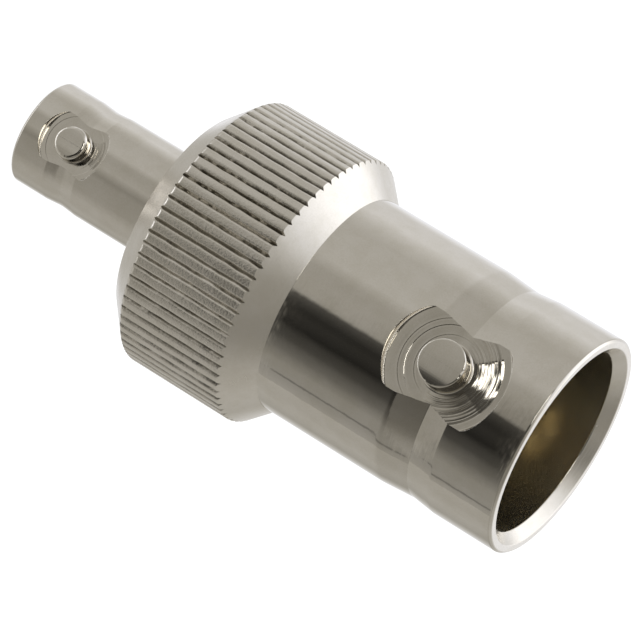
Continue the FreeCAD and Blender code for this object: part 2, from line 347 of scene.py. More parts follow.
def mill_marks_group():
    """Fine rings left by a hollow mill round one stud, deepest on their upper side."""
    tree, entry, leave = new_group(
        "mill_marks", {"Stud height": 20.0, "Ring zone": 2.1, "Marks": 9.0, "Height": 0.006},
        {"Height": "Float"})
    axes = place_in_mm(tree)[1]
    up = maths(tree, "SUBTRACT", axes["Z"], entry["Stud height"])
    across = axes["X"]
    distance = maths(tree, "SQRT", maths(tree, "ADD", maths(tree, "MULTIPLY", up, up),
                                         maths(tree, "MULTIPLY", across, across)))
    ring = maths(tree, "MULTIPLY", distance, entry["Marks"])
    sway = [maths(tree, "MULTIPLY", way, MARK_SWAY) for way in (up, across)]
    place = node(tree, "CombineXYZ", {0: ring, 1: sway[0], 2: sway[1]})
    grain = node(tree, "TexNoise", {"Vector": place.outputs[0], "Scale": 1.0, "Detail": 3.0,
                                    "Roughness": 0.65})
    side = limits(tree, up, *MARK_HEIGHTS, LOW_MARKS, 1.0)
    reach = maths(tree, "DIVIDE", distance, entry["Ring zone"])
    inner = limits(tree, reach, *ZONE_EDGE, 1.0, OUTER_MARKS)
    strength = maths(tree, "MULTIPLY", maths(tree, "MULTIPLY", side, inner), entry["Height"])
    tree.links.new(maths(tree, "MULTIPLY", grain.outputs[0], strength), leave["Height"])
    return tree


# Scales of the knurl's noises across and along the part: its grain, the patches of its painted groove shade
# and their drift
GRAIN_SCALE, PATCH_SCALE, DRIFT_SCALE = (12, 12, 9), (4.0, 4.0, 2.2), (0.45, 0.45, 0.1)
DRIFT_SHARE, SHADE_PATCH_FROM_TO = 0.9, (0.80, 0.98)
# Depths between which painted shade comes in on a groove's wall
GROOVE_SHADE_DEPTHS = (0.035, 0.10)
# Where the painted shade in the grooves is lightest, as angles round the part, and how much of it is left
# there
LIGHTEST_SHADE_SIDE = math.radians(-70)
LIGHTEST_SHADE_SPAN, LIGHTEST_SHADE_SHARE = (0.2, 0.5), 0.5


def pressed_marks_group():
    """The pressed grain of a knurl as a height, and a mask of painted shade in its grooves."""
    tree, entry, leave = new_group(
        "pressed_marks", {"Outer radius": 6.0, "Height": 0.004}, {"Height": "Float", "Groove shade": "Float"})
    vector, axes, radius = place_in_mm(tree)
    stretched = vector_maths(tree, "MULTIPLY", vector, GRAIN_SCALE).outputs[0]
    grain = node(tree, "TexNoise", {"Vector": stretched, "Scale": 1.0, "Detail": 3.0, "Roughness": 0.6})
    tree.links.new(maths(tree, "MULTIPLY", grain.outputs[0], entry["Height"]), leave["Height"])
    # Painted shade: deep in the grooves, in patches, and lighter on one side round the part
    sunk = limits(tree, maths(tree, "SUBTRACT", entry["Outer radius"], radius), *GROOVE_SHADE_DEPTHS)
    long = vector_maths(tree, "MULTIPLY", vector, PATCH_SCALE).outputs[0]
    patch = node(tree, "TexNoise", {"Vector": long, "Scale": 1.0, "Detail": 3.0, "Roughness": 0.7})
    around = vector_maths(tree, "MULTIPLY", vector, DRIFT_SCALE).outputs[0]
    slow = node(tree, "TexNoise", {"Vector": around, "Scale": 1.0, "Detail": 1.0})
    shade_patches = maths(tree, "MULTIPLY_ADD", slow.outputs[0], DRIFT_SHARE, patch.outputs[0])
    turn = maths(tree, "ARCTAN2", axes["Y"], axes["X"])
    aside = maths(tree, "ABSOLUTE", maths(tree, "SUBTRACT", turn, LIGHTEST_SHADE_SIDE))
    shade_patches = limits(tree, shade_patches, *SHADE_PATCH_FROM_TO)
    share = maths(tree, "MULTIPLY", shade_patches, limits(tree, aside, *LIGHTEST_SHADE_SPAN, LIGHTEST_SHADE_SHARE, 1.0))
    tree.links.new(maths(tree, "MULTIPLY", sunk, share), leave["Groove shade"])
    return tree


LATHE_MARKS = lathe_marks_group()
PLATING = plating_group()
MILL_MARKS = mill_marks_group()
PRESSED_MARKS = pressed_marks_group()

NICKEL = (0.700, 0.667, 0.606, 1)
# Nickel of the bores, darker and browner than the outside: painted shade inside the bores
SHADED_BORE_NICKEL = (0.66, 0.61, 0.49, 1)
# Colour of the painted shade in the deep walls and floors of the knurl's grooves
PAINTED_GROOVE_SHADE = (0.22, 0.20, 0.16, 1)
GOLD = (1.00, 0.78, 0.40, 1)
PTFE = (0.80, 0.79, 0.76, 1)


def plated(name, colour, roughness, unevenness, *reliefs, edge=0.0):
    """A plated metal. Each relief is a group and the values of its inputs."""
    material = bpy.data.materials.new(name)
    material.use_nodes = True
    tree = material.node_tree
    shader = tree.nodes["Principled BSDF"]
    shader.inputs["Metallic"].default_value = 1
    finish = use(tree, PLATING, {"Colour": colour, "Roughness": roughness, "Unevenness": unevenness})
    tree.links.new(finish["Colour"], shader.inputs["Base Color"])
    tree.links.new(finish["Roughness"], shader.inputs["Roughness"])
    normal = node(tree, "Bevel", {"Radius": edge * MM}, samples=4).outputs[0] if edge else None
    for group, values in reliefs:
        bump = node(tree, "Bump", {"Strength": 1.0, "Distance": MM})
        marks = use(tree, group, values)
        tree.links.new(marks["Height"], bump.inputs["Height"])
        # A relief's groove shade mask blends painted shade into the colour
        if "Groove shade" in marks:
            groove_shaded = blend(tree, marks["Groove shade"], finish["Colour"], PAINTED_GROOVE_SHADE)
            tree.links.new(groove_shaded, shader.inputs["Base Color"])
        if normal:
            tree.links.new(normal, bump.inputs["Normal"])
        normal = bump.outputs[0]
    if normal:
        tree.links.new(normal, shader.inputs["Normal"])
    return material


def ptfe():
    """White PTFE with faint turning rings."""
    material = bpy.data.materials.new("white_ptfe")
    material.use_nodes = True
    tree = material.node_tree
    shader = tree.nodes["Principled BSDF"]
    shader.inputs["Specular IOR Level"].default_value = 0.3
    finish = use(tree, PLATING, {"Colour": PTFE, "Roughness": 0.5, "Unevenness": 0.4})
    tree.links.new(finish["Colour"], shader.inputs["Base Color"])
    tree.links.new(finish["Roughness"], shader.inputs["Roughness"])
    marks = use(tree, LATHE_MARKS, {"Marks": 8.0, "Height": 0.006})
    bump = node(tree, "Bump", {"Strength": 1.0, "Distance": MM, "Height": marks["Height"]})
    tree.links.new(bump.outputs[0], shader.inputs["Normal"])
    return material


BRIGHT = plated("bright_nickel", NICKEL, 0.06, 0.5,
                (LATHE_MARKS, {"Marks": 6.0, "Height": 0.0005, "Chatter": 0.5}),
                (LATHE_MARKS, {"Marks": 0.0, "Height": 0.0035, "Chatter": 1.3}), edge=0.03)
SATIN = plated("satin_nickel", NICKEL, 0.24, 0.4,
               (LATHE_MARKS, {"Marks": 16.0, "Height": 0.0012}))
# The knurl's grooves get painted shade from the pressed marks' mask
KNURLED = plated("knurled_nickel", NICKEL, 0.23, 0.6,
                 (PRESSED_MARKS, {"Outer radius": COLLAR_R, "Height": 0.008}))
# The bores' nickel carries painted shade
BORED = plated("bored_nickel_painted_shade", SHADED_BORE_NICKEL, 0.20, 0.5,
               (LATHE_MARKS, {"Marks": 10.0, "Height": 0.003}))
TURNED_TOP = plated("stud_top_nickel", NICKEL, 0.10, 0.4,
                    (LATHE_MARKS, {"Marks": 9.0, "Height": 0.0004, "Chatter": 0.2}))
MILLED_BNC = plated("milled_nickel", NICKEL, 0.10, 0.5,
                    (MILL_MARKS, {"Stud height": BNC["stud"], "Ring zone": 2.1, "Height": 0.008}),
                    edge=0.03)
MILLED_HD = plated("milled_nickel_small", NICKEL, 0.10, 0.5,
                   (MILL_MARKS, {"Stud height": HD["stud"], "Ring zone": 1.25, "Height": 0.003}),
                   edge=0.02)
GILT = plated("gold_plate", GOLD, 0.10, 0.5,
              (LATHE_MARKS, {"Marks": 16.0, "Height": 0.001}))
WHITE = ptfe()


# Turned and milled meshes

def spin_section(section, steps, closed=True):
    """Turn a section of (radius, height) points round the upright axis."""
    bm = bmesh.new()
    corners = [bm.verts.new((radius, 0, height)) for radius, height in section]
    for first, second in zip(corners, corners[1:]):
        bm.edges.new((first, second))
    if closed:
        bm.edges.new((corners[-1], corners[0]))
    bmesh.ops.spin(bm, geom=bm.verts[:] + bm.edges[:], cent=(0, 0, 0), axis=(0, 0, 1),
                   angle=math.tau, steps=steps, use_merge=True)
    bmesh.ops.remove_doubles(bm, verts=bm.verts[:], dist=1e-5)
    bmesh.ops.recalc_face_normals(bm, faces=bm.faces[:])
    return bm


def turned(parts, steps):
    """A closed ring turned from stretches of (finish number, points), painted stretch by stretch."""
    section = []
    finishes = {}
    for finish, points in parts:
        for point in points:
            section.append(point)
            finishes[len(section) - 1] = finish
    bm = spin_section(section, steps)
    middles = {}
    for number, (radius, height) in enumerate(section):
        after = section[(number + 1) % len(section)]
        key = (round((radius + after[0]) / 2, 3), round((height + after[1]) / 2, 3))
        middles[key] = finishes[number]
    for face in bm.faces:
        radius = sum(math.hypot(v.co.x, v.co.y) for v in face.verts) / len(face.verts)
        height = sum(v.co.z for v in face.verts) / len(face.verts)
        face.material_index = middles.get((round(radius, 3), round(height, 3)), 0)
    return bm


def soften(bm, width, corners):
    """Round the edges round the axis at (radius, height) corners, and return the rings beside them."""
    beside = []
    for corner in corners:
        ring = [edge for edge in bm.edges if all(on_ring(vert.co, corner, 1) for vert in edge.verts)]
        made = bmesh.ops.bevel(bm, geom=ring, offset=width, offset_type="OFFSET", affect="EDGES",
                               segments=3, profile=0.5, material=-1)
        places = {(round(math.hypot(v.co.x, v.co.y), 4), round(v.co.z, 4)) for v in made["verts"]}
        reach = max(math.dist(place, corner) for place in places)
        beside += [place for place in places if math.dist(place, corner) > reach - BESIDE]
    return beside


def on_ring(point, ring, unit):
    """Whether a point lies at a ring's radius and height, in millimetres times a unit."""
    return (abs(math.hypot(point.x, point.y) / unit - ring[0]) < ON_RING
            and abs(point.z / unit - ring[1]) < ON_RING)


def to_object(bm, name, materials):
    """The mesh as an object at the origin, in metres."""
    bmesh.ops.scale(bm, vec=(MM, MM, MM), verts=bm.verts[:])
    mesh = bpy.data.meshes.new(name)
    bm.to_mesh(mesh)
    bm.free()
    for material in materials:
        mesh.materials.append(material)
    mesh.shade_smooth()
    obj = bpy.data.objects.new(name, mesh)
    bpy.context.scene.collection.objects.link(obj)
    return obj


def combine(target, tool, operation):
    """Cut the tool out of the target, join it on, or keep only what both share, and drop the tool."""
    modifier = target.modifiers.new("combine", "BOOLEAN")
    modifier.operation = operation
    modifier.solver = "EXACT"
    modifier.material_mode = "TRANSFER"
    modifier.object = tool
    graph = bpy.context.evaluated_depsgraph_get()
    mesh = bpy.data.meshes.new_from_object(target.evaluated_get(graph))
    target.modifiers.clear()
    spare, target.data = target.data, mesh
    bpy.data.meshes.remove(spare)
    bpy.data.objects.remove(tool)


def settle_normals(obj, kept_apart=(), creases=()):
    """Mark the sharp edges: steep ones, those round milled faces and stud tops, and the given rings."""
    mesh = obj.data
    mesh.name = obj.name
    mesh.shade_smooth()
    mesh.set_sharp_from_angle(angle=SHARP_ANGLE)
    apart = {mesh.materials.find(material.name) for material in kept_apart}
    bm = bmesh.new()
    bm.from_mesh(mesh)
    for edge in bm.edges:
        finishes = {face.material_index for face in edge.link_faces}
        ends = [vert.co for vert in edge.verts]
        if finishes & apart and (len(finishes) == 2 or edge.calc_face_angle(0) > FINE_ANGLE):
            edge.smooth = False
        elif any(on_ring(ends[0], ring, MM) and on_ring(ends[1], ring, MM) for ring in creases):
            edge.smooth = False
    bm.to_mesh(mesh)
    bm.free()
    weighted = obj.modifiers.new("weighted_normals", "WEIGHTED_NORMAL")
    weighted.keep_sharp = True
    weighted.weight = NORMAL_WEIGHT


def stands_for(obj, node_name):
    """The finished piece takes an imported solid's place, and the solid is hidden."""
    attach(obj, "root")
    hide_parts(node_name)


def waist_outline(end):
    """Points of a barrel's waist from its lower edge up: two slopes with rounded ridges and floor."""
    radius, half, depth = end["barrel"], end["waist_half"], end["waist_depth"]
    corners = [(end["waist"] - half, 0), (end["waist"] + end["floor_shift"], depth), (end["waist"] + half, 0)]
    below = [0, depth / (half + end["floor_shift"]), -depth / (half - end["floor_shift"]), 0]
    points = []
    for number, (place, sink) in enumerate(corners):
        reach = end["waist_fillets"][number]
        before, after = below[number], below[number + 1]
        for step in (-1, -0.5, 0, 0.5, 1):
            away = reach * step
            rounded = (before + after) * away / 2 + (after - before) * (reach + away * away / reach) / 4
            points.append((radius - sink - rounded, place + away))
    return points


def quarter(radius, up, size, start):
    """Points of a quarter circle about a centre, from a starting angle in degrees."""
    turns = [math.radians(start + 90 * step / QUARTER_PIECES) for step in range(QUARTER_PIECES + 1)]
    return [(radius + size * math.cos(turn), up + size * math.sin(turn)) for turn in turns]


def on_stud_axis(bm, end, side):
    """Move a shape turned round the upright axis to a stud's own axis."""
    lay = Matrix.Translation((0, 0, end["stud"])) @ Matrix.Rotation(-side * math.pi / 2, 4, "X")
    bmesh.ops.transform(bm, matrix=lay, verts=bm.verts[:])
    bmesh.ops.recalc_face_normals(bm, faces=bm.faces[:])
    return bm


def ring_strength(end, distance, up, across):
    """How deep the mill's rings are at a place round the stud, as a share of their full depth."""
    if distance <= end["ring_start"]:
        return FAINT_RINGS
    inside = up * math.cos(RING_SIDE) + across * math.sin(RING_SIDE)
    strength = max((inside - RING_EDGE) / RING_FADE, FAINT_RINGS)
    if across < 0:
        strength = max(strength, min((up - SLIGHT_EDGE) / SLIGHT_FADE, SLIGHT_RINGS))
    return min(strength, 1)


def mill(end, side):
    """The space that a hollow mill clears round a stud. Its teeth leave rings, deep on their upper side."""
    flat, outer, corner = end["flat"], end["mill_r"], end["mill_corner"]
    radius = end["stud_r"] + end["stud_foot"] + FOOT_ROOM
    floor = [(radius, flat)]
    while radius < end["ring_end"]:
        floor.append((radius + RING_SPLIT * end["ring_pitch"], floor[-1][1]))
        radius += end["ring_pitch"]
        level = flat + sum(rise for place, rise in end["mill_steps"] if place < radius)
        floor.append((radius, level))
    rows = {round(place, 3): number for number, (place, _) in enumerate(floor)}
    top = end["stud_tip"] + MILL_HEADROOM
    bm = spin_section([
        (0, flat),
        *floor,
        *quarter(outer - corner, level + corner, corner, -90),
        (outer, top),
        (0, top),
    ], MILL_STEPS, closed=False)
    per_ring, per_mm = RING_NOISE
    for vert in bm.verts:
        distance = math.hypot(vert.co.x, vert.co.y)
        number = rows.get(round(distance, 3), 0)
        if not 0 < number < len(floor) - 1:
            continue
        up, across = -side * vert.co.y / distance, side * vert.co.x / distance
        strength = ring_strength(end, distance, up, across)
        sign = -0.5 if number % 2 else 0.5
        draw = noise.noise((number // 2 * per_ring, vert.co.x * per_mm, vert.co.y * per_mm))
        vert.co.z += sign * (1 + RING_UNEVENNESS * draw) * strength * end["ring_depth"]
    return on_stud_axis(bm, end, side)


def stud(end, side, finish):
    """A bayonet stud with a flared foot, a turned top and a rounded edge."""
    radius, foot = end["stud_r"], end["stud_foot"]
    base = end["flat"]
    root = base - STUD_ROOT
    stock = end["stud_tip"] + STUD_STOCK
    bm = spin_section([
        (0, root),
        (radius + foot, root),
        *reversed(quarter(radius + foot, base + foot, foot, 180)),
        (radius, stock),
        (0, stock),
    ], STUD_STEPS, closed=False)
    piece = to_object(on_stud_axis(bm, end, side), "stud", [finish])
    inside = base - STUD_STOCK
    low, high = end["stud"] - LATHE_SPAN, end["stud"] + LATHE_SPAN
    lathe = spin_section([
        (inside, low),
        (end["stud_tip"], low),
        (end["stud_tip"], high),
        (inside, high),
    ], BARREL_STEPS)
    combine(piece, to_object(lathe, "lathe", [TURNED_TOP]), "INTERSECT")
    bm = bmesh.new()
    bm.from_mesh(piece.data)
    half_way = (base + end["stud_tip"]) / 2 * MM
    rim = [
        edge for edge in bm.edges
        if min(abs(v.co.y) for v in edge.verts) > half_way
        and edge.calc_face_angle(0) > STUD_RIM_ANGLE
    ]
    made = bmesh.ops.bevel(bm, geom=rim, offset=end["stud_edge"] * MM, offset_type="OFFSET",
                           affect="EDGES", segments=5, profile=0.5, material=-1)
    for face in made["faces"]:
        face.material_index = 0
    bm.to_mesh(piece.data)
    bm.free()
    return piece


def mill_studs(obj, end, milled, finish):
    """Mill a flat on both sides of a barrel, and leave a stud standing on each."""
    for side in (1, -1):
        combine(obj, to_object(mill(end, side), "mill", [milled]), "DIFFERENCE")
        combine(obj, stud(end, side, finish), "UNION")


def groove_noise(lane, height, steps):
    """Noise along one groove, which differs from lane to lane."""
    per_lane, per_mm, start = steps
    return noise.noise((lane * per_lane, height * per_mm, start))


def knurl(bm):
    """Press the grooves into the collar's outer rings, and break the lands' rear corners."""
    pitch = math.tau / TEETH
    for vert in bm.verts:
        if abs(math.hypot(vert.co.x, vert.co.y) - COLLAR_R) > ON_RADIUS:
            continue
        places = math.atan2(vert.co.y, vert.co.x) / pitch
        groove = round(places)
        step = round((places - groove) * TOOTH_STEPS)
        share, depth = HALF_TOOTH[abs(step)]
        share = math.copysign(share, step)
        height = vert.co.z
        at_rear = height < KNURL_REAR + ON_RADIUS
        if abs(step) < GROOVE_POINTS:
            lane = groove % TEETH
            share += GROOVE_WANDER * groove_noise(lane, height, WANDER_NOISE)
            depth *= 1 + GROOVE_DEPTH_SHARE * groove_noise(lane, height, DEPTH_NOISE)
        elif at_rear:
            depth += LAND_END_CHAMFER
        if at_rear:
            height -= depth * REAR_CHAMFER_LENGTH / REAR_CHAMFER_WIDTH
        if height > KNURL_FRONT - ON_RADIUS:
            height += depth
        turn = (groove + share) * pitch
        radius = COLLAR_R - depth
        vert.co = (radius * math.cos(turn), radius * math.sin(turn), height)


def bnc_body():
    """The large turned body, with its knurl, waist, flats and studs."""
    bright, knurled, satin, bored = 0, 1, 2, 3
    barrel, bore = BNC["barrel"], BNC["bore"]
    rear_edge = COLLAR_R - REAR_CHAMFER_WIDTH
    rim = bore + BNC["lead_in_width"]
    seam = PLUG_R + FIT
    rows = [KNURL_REAR + row for row in LAND_END_ROWS]
    rows += [KNURL_REAR + KNURL_LENGTH * row / KNURL_ROWS for row in range(1, KNURL_ROWS)]
    run_out_drop = RUN_OUT * REAR_CHAMFER_LENGTH / REAR_CHAMFER_WIDTH
    bm = turned([
        (satin, [(seam, REAR_FACE + SEAM_CHAMFER), (seam + SEAM_CHAMFER, REAR_FACE),
                 (rear_edge, REAR_FACE), (COLLAR_R - RUN_OUT, KNURL_REAR - run_out_drop)]),
        (knurled, [(COLLAR_R, height) for height in rows]),
        (satin, [(COLLAR_R, KNURL_FRONT), (COLLAR_R - RUN_OUT, KNURL_FRONT + RUN_OUT)]),
        (bright, [(barrel, BARREL_ROOT), *waist_outline(BNC),
                  (barrel, MOUTH - BNC["rim_chamfer"])]),
        (satin, [(barrel - BNC["rim_chamfer"], MOUTH), (rim, MOUTH)]),
        (bored, [(bore, MOUTH - BNC["lead_in_depth"]), (bore, BNC_SEAT),
                 (NOSE_R + FIT, BNC_SEAT), (NOSE_R + FIT, LIP_BACK),
                 (BEAD_R + FIT, LIP_BACK), (BEAD_R + FIT, PLUG_TOP), (seam, PLUG_TOP)]),
    ], COLLAR_STEPS)
    creases = soften(bm, REAR_ROUNDING, [(rear_edge, REAR_FACE)])
    creases += soften(bm, RIM_ROUNDING, [
        (barrel, MOUTH - BNC["rim_chamfer"]), (barrel - BNC["rim_chamfer"], MOUTH),
        (rim, MOUTH), (bore, MOUTH - BNC["lead_in_depth"]), (NOSE_R + FIT, BNC_SEAT)])
    knurl(bm)
    obj = to_object(bm, "bnc_turned_body", [BRIGHT, KNURLED, SATIN, BORED, MILLED_BNC, TURNED_TOP])
    mill_studs(obj, BNC, MILLED_BNC, BRIGHT)
    settle_normals(obj, [MILLED_BNC, TURNED_TOP], creases)
    stands_for(obj, "bnc_body")


def hd_bnc_body():
    """The small turned body, with its waist, flats, studs and press plug."""
    bright, satin, bored = 0, 1, 2
    barrel, bore = HD["barrel"], HD["bore"]
    chamfer = HD["rim_chamfer"]
    rim = bore + HD["lead_in_width"]
    bm = turned([
        (satin, [(rim, 0), (barrel - chamfer, 0)]),
        (bright, [(barrel, chamfer), *waist_outline(HD), (barrel, REAR_FACE)]),
        (satin, [(PLUG_R - SEAM_CHAMFER, REAR_FACE), (PLUG_R, REAR_FACE + SEAM_CHAMFER)]),
        (bored, [(PLUG_R, PLUG_TOP), (FLANGE_R + FIT, PLUG_TOP), (FLANGE_R + FIT, FLANGE_BACK),
                 (SLEEVE_R + FIT, FLANGE_BACK), (SLEEVE_R + FIT, HD_SEAT), (bore, HD_SEAT)]),
        (satin, [(bore, HD["lead_in_depth"])]),
    ], BARREL_STEPS)
    creases = soften(bm, HD_ROUNDING, [
        (barrel, chamfer), (barrel - chamfer, 0), (rim, 0), (bore, HD["lead_in_depth"])])
    obj = to_object(bm, "hd_bnc_turned_body", [BRIGHT, SATIN, BORED, MILLED_HD, TURNED_TOP])
    mill_studs(obj, HD, MILLED_HD, BRIGHT)
    settle_normals(obj, [MILLED_HD, TURNED_TOP], creases)
    stands_for(obj, "hd_bnc_body")


def slotted(obj, socket, tip, inwards):
    """Saw four slots into a socket from its tip, so that its tines can spring."""
    length = socket["slot_length"]
    middle = tip + inwards * length / 2
    for turn in (0, math.pi / 2):
        bm = bmesh.new()
        size = Matrix.Diagonal((3 * socket["radius"], socket["slot_width"], length + SAW_OVERRUN, 1))
        place = Matrix.Translation((0, 0, middle)) @ Matrix.Rotation(turn, 4, "Z") @ size
        bmesh.ops.create_cube(bm, size=1, matrix=place)
        combine(obj, to_object(bm, "saw", [GILT]), "DIFFERENCE")


def bnc_contact():
    """The large gilt socket: four tines with rounded lips, and a shank drilled from behind."""
    radius, hole, lip = BNC_SOCKET["radius"], BNC_SOCKET["hole"], BNC_SOCKET["lip"]
    shank, joint = BNC_SOCKET["shank"], BNC_SOCKET["joint"]
    tip, foot = SOCKET_HIGH.z, SOCKET_LOW.z
    bottom, joint_top = tip - BNC_SOCKET["hole_depth"], foot + BNC_SOCKET["joint_depth"]
    bm = spin_section([
        (0, joint_top),
        (joint, joint_top - BNC_SOCKET["drill_point"]),
        (joint, foot),
        (shank, foot),
        (shank, BNC_SEAT),
        (radius, BNC_SEAT),
        *quarter(radius - lip, tip - lip, lip, 0),
        *quarter(hole + lip, tip - lip, lip, 90),
        (hole, bottom + BNC_SOCKET["drill_point"]),
        (0, bottom),
    ], CONTACT_STEPS, closed=False)
    obj = to_object(bm, "bnc_gilt_socket", [GILT])
    slotted(obj, BNC_SOCKET, tip, -1)
    settle_normals(obj)
    stands_for(obj, "bnc_contact")


def hd_bnc_contact():
    """The small gilt socket, whose shank is pressed into the large one."""
    radius, hole, lip = HD_SOCKET["radius"], HD_SOCKET["hole"], HD_SOCKET["lip"]
    shank, tip = HD_SOCKET["shank"], SMALL_SOCKET_LOW.z
    bottom = tip + HD_SOCKET["hole_depth"]
    bm = spin_section([
        (0, bottom),
        (hole, bottom - HD_SOCKET["drill_point"]),
        *quarter(hole + lip, tip + lip, lip, 180),
        *quarter(radius - lip, tip + lip, lip, 270),
        (radius, HD_SEAT),
        (shank, HD_SEAT),
        (shank, SMALL_SOCKET_HIGH.z),
        (0, SMALL_SOCKET_HIGH.z),
    ], CONTACT_STEPS, closed=False)
    obj = to_object(bm, "hd_bnc_gilt_socket", [GILT])
    slotted(obj, HD_SOCKET, tip, 1)
    settle_normals(obj)
    stands_for(obj, "hd_bnc_contact")


def insulators():
    """The PTFE bead and sleeve that carry the contact."""
    bead_hole, sleeve_hole = BNC_SOCKET["shank"] + FIT, HD_SOCKET["shank"] + FIT
    bead = spin_section([
        (bead_hole, PLUG_TOP), (BEAD_R, PLUG_TOP), (BEAD_R, LIP_BACK),
        (NOSE_R, LIP_BACK), (NOSE_R, BNC_SEAT), (bead_hole, BNC_SEAT)], CONTACT_STEPS)
    soften(bead, BEAD_ROUNDING, [(NOSE_R, BNC_SEAT)])
    sleeve = spin_section([
        (sleeve_hole, HD_SEAT), (SLEEVE_R, HD_SEAT), (SLEEVE_R, FLANGE_BACK),
        (FLANGE_R, FLANGE_BACK), (FLANGE_R, PLUG_TOP), (sleeve_hole, PLUG_TOP)], CONTACT_STEPS)
    soften(sleeve, SLEEVE_ROUNDING, [(SLEEVE_R, HD_SEAT)])
    for bm, name, stood_for in ((bead, "bnc_ptfe_bead", "bnc_insulator"),
                                (sleeve, "hd_bnc_ptfe_sleeve", "hd_bnc_insulator")):
        obj = to_object(bm, name, [WHITE])
        settle_normals(obj)
        stands_for(obj, stood_for)


bnc_body()
hd_bnc_body()
bnc_contact()
hd_bnc_contact()
insulators()


# Studio

# Brightness of the walls of light round the part, by compass angle in degrees
LOW_WALL = [(0, .47), (13, .49), (28, .48), (43, .51), (60, .43), (94, 1.0), (114, 1.0), (131, .8),
            (151, .83), (160, .86), (168, .76), (180, .62), (192, .54), (236, .57), (248, .43), (256, .42),
            (276, .46), (286, .36), (294, .29), (302, .34), (343, .38), (352, .43), (360, .455)]
HIGH_WALL = [(0, .24), (14, .35), (28, .46), (41, .5), (53, .56), (74, .75), (94, 1.15), (114, 1.2),
             (124, 1.45), (147, 1.7), (160, 1.7), (174, 1.55), (190, 1.33), (211, 1.0), (239, .68),
             (274, .45), (309, .34), (322, .31), (337, .27), (350, .24), (360, .24)]
BRIGHTEST = 2.0
# Heights above the horizon, in degrees, between which one light gives way to the next
HIGH_WALL_HEIGHTS = (2, 25)
SHELF_HEIGHTS = (-18, -14)
LOW_EDGE_HEIGHTS = (-36, -27)
UNDERSIDE_HEIGHTS = (-30, -50)
TABLE_HEIGHTS = (-48, -56)
# A dark shelf on the low wall: its middle in degrees, and how its shade ends in shares of a turn
SHELF_MIDDLE = 316
SHELF_ENDS, SHELF_LIGHT = (0.055, 0.12), (0.60, 0.89)
LOW_EDGE_LIGHT = 1.27
# Light from below, and a bright table in front of the part, which ends at these depths
UNDERSIDE = 0.285
TABLE, TABLE_ENDS = 1.7, (-0.27, -0.10)
# The dark room behind the camera, in degrees
DARK_ROOM = 0.03
ROOM_COMPASS, ROOM_HEIGHT = -86, 24
ROOM_SPAN = (34, 46)
LAMP_PLACES = [(-98, 24), (-108, 22), (-117, 18)]
LAMP_SPAN, LAMP_POWER = (6, 8), 3.4
LAMP_TINT = (1.0, 0.98, 0.93, 1)
# Tint of the walls by their brightness
WALL_TINTS = [(0, (1.07, 1.0, 0.87)), (0.22, (1.03, 1.0, 0.93)), (0.5, (0.99, 1.0, 1.05))]
SOFT_LIGHT = 1.8

# The graded card: how much light it lets past, from its one edge to the other
CARD_START, CARD_SWEEP, CARD_R = -88, 100, 60
CARD_GRADES = [(0, 1), (.05, .9), (.08, .22), (.13, .14), (.18, .09), (.24, .11), (.35, .06), (.41, .15),
               (.48, .2), (.53, .33), (.60, .45), (.66, .65), (.73, .78), (.80, .75), (.90, .72), (1, .82)]
# Heights between which it fades: away at its foot, to a share at its middle, and away at its top
CARD_FOOT, CARD_MIDDLE, CARD_TOP = (-7.6, -5.9), (8.5, 9.0), (11.5, 14)
CARD_UPPER_SHARE = 0.38
# A thin darker line along it: its place at two heights, its half width, its light and where it ends
LINE_HEIGHTS, LINE_PLACES = (1.0, 3.0), (0.862, 0.925)
LINE_WIDTH, LINE_LIGHT = (0.007, 0.014), 0.55
LINE_FOOT, LINE_TOP = (-5.9, -5.3), (8.2, 8.7)
CARD_STEPS = 64

STUDIO_FLOOR = 1.5
FLOOR_GREY, FLOOR_GLOW = 0.12, 0.93


def way_to(compass_angle, height_angle):
    """The unit vector towards a compass angle and a height above the horizon, in degrees."""
    level = math.cos(math.radians(height_angle))
    return (level * math.cos(math.radians(compass_angle)),
            level * math.sin(math.radians(compass_angle)),
            math.sin(math.radians(height_angle)))


def near(tree, way, target, span):
    """1 within the inner angle of a span round a direction and 0 beyond the outer one, in degrees."""
    closeness = vector_maths(tree, "DOT_PRODUCT", way, way_to(*target)).outputs["Value"]
    inner, outer = (math.cos(math.radians(angle)) for angle in span)
    return limits(tree, closeness, outer, inner)


def by_height(tree, up, heights, below=0.0, above=1.0):
    """A value that goes from one to another between two heights above the horizon, in degrees."""
    start, end = (way_to(0, height)[2] for height in heights)
    return limits(tree, up, start, end, below, above)


